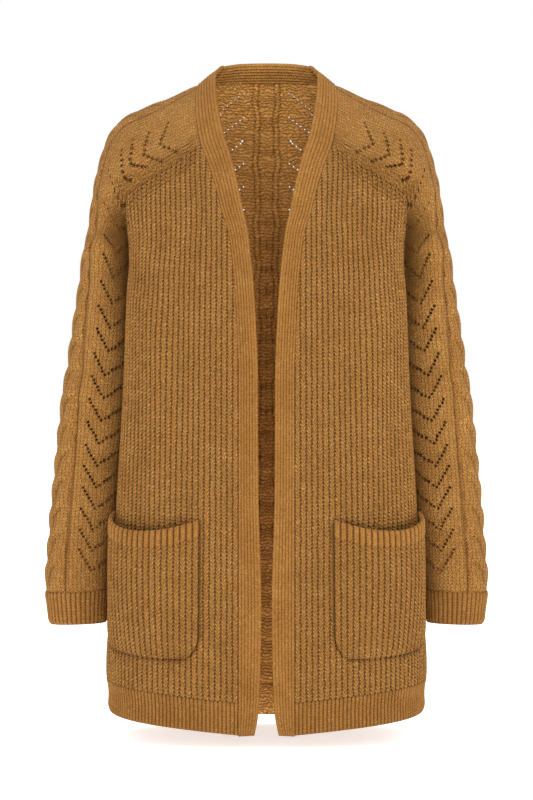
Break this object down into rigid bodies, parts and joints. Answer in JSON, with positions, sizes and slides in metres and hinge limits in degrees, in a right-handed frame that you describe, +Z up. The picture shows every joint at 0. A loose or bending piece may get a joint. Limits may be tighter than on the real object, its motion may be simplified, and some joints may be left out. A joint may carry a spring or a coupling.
{
  "type": "open-front cardigan",
  "caption": "Hip-length open-front cardigan with raglan sleeves, rope cables, ribbed band, hem and cuffs, and patch pockets, in its worn hollow form.",
  "frame": {"origin": "between the shoulders at the root of the neck, where the wearer holds it up", "axes": "+Z up, -Y out of the open front, +X toward the garment's left side as worn"},
  "size_m": [0.529, 0.2743, 0.8027],
  "materials": {
    "wool_knit": "matt"
  },
  "bodies": {
    "root": {"back": "wool_knit", "front_left": "wool_knit", "front_right": "wool_knit", "sleeve_left": "wool_knit", "sleeve_right": "wool_knit", "front_band": "wool_knit", "pocket_left": "wool_knit", "pocket_right": "wool_knit", "cuff_left": "wool_knit", "cuff_right": "wool_knit", "hem_back": "wool_knit", "hem_front_left": "wool_knit", "hem_front_right": "wool_knit"}
  },
  "joints": []
}
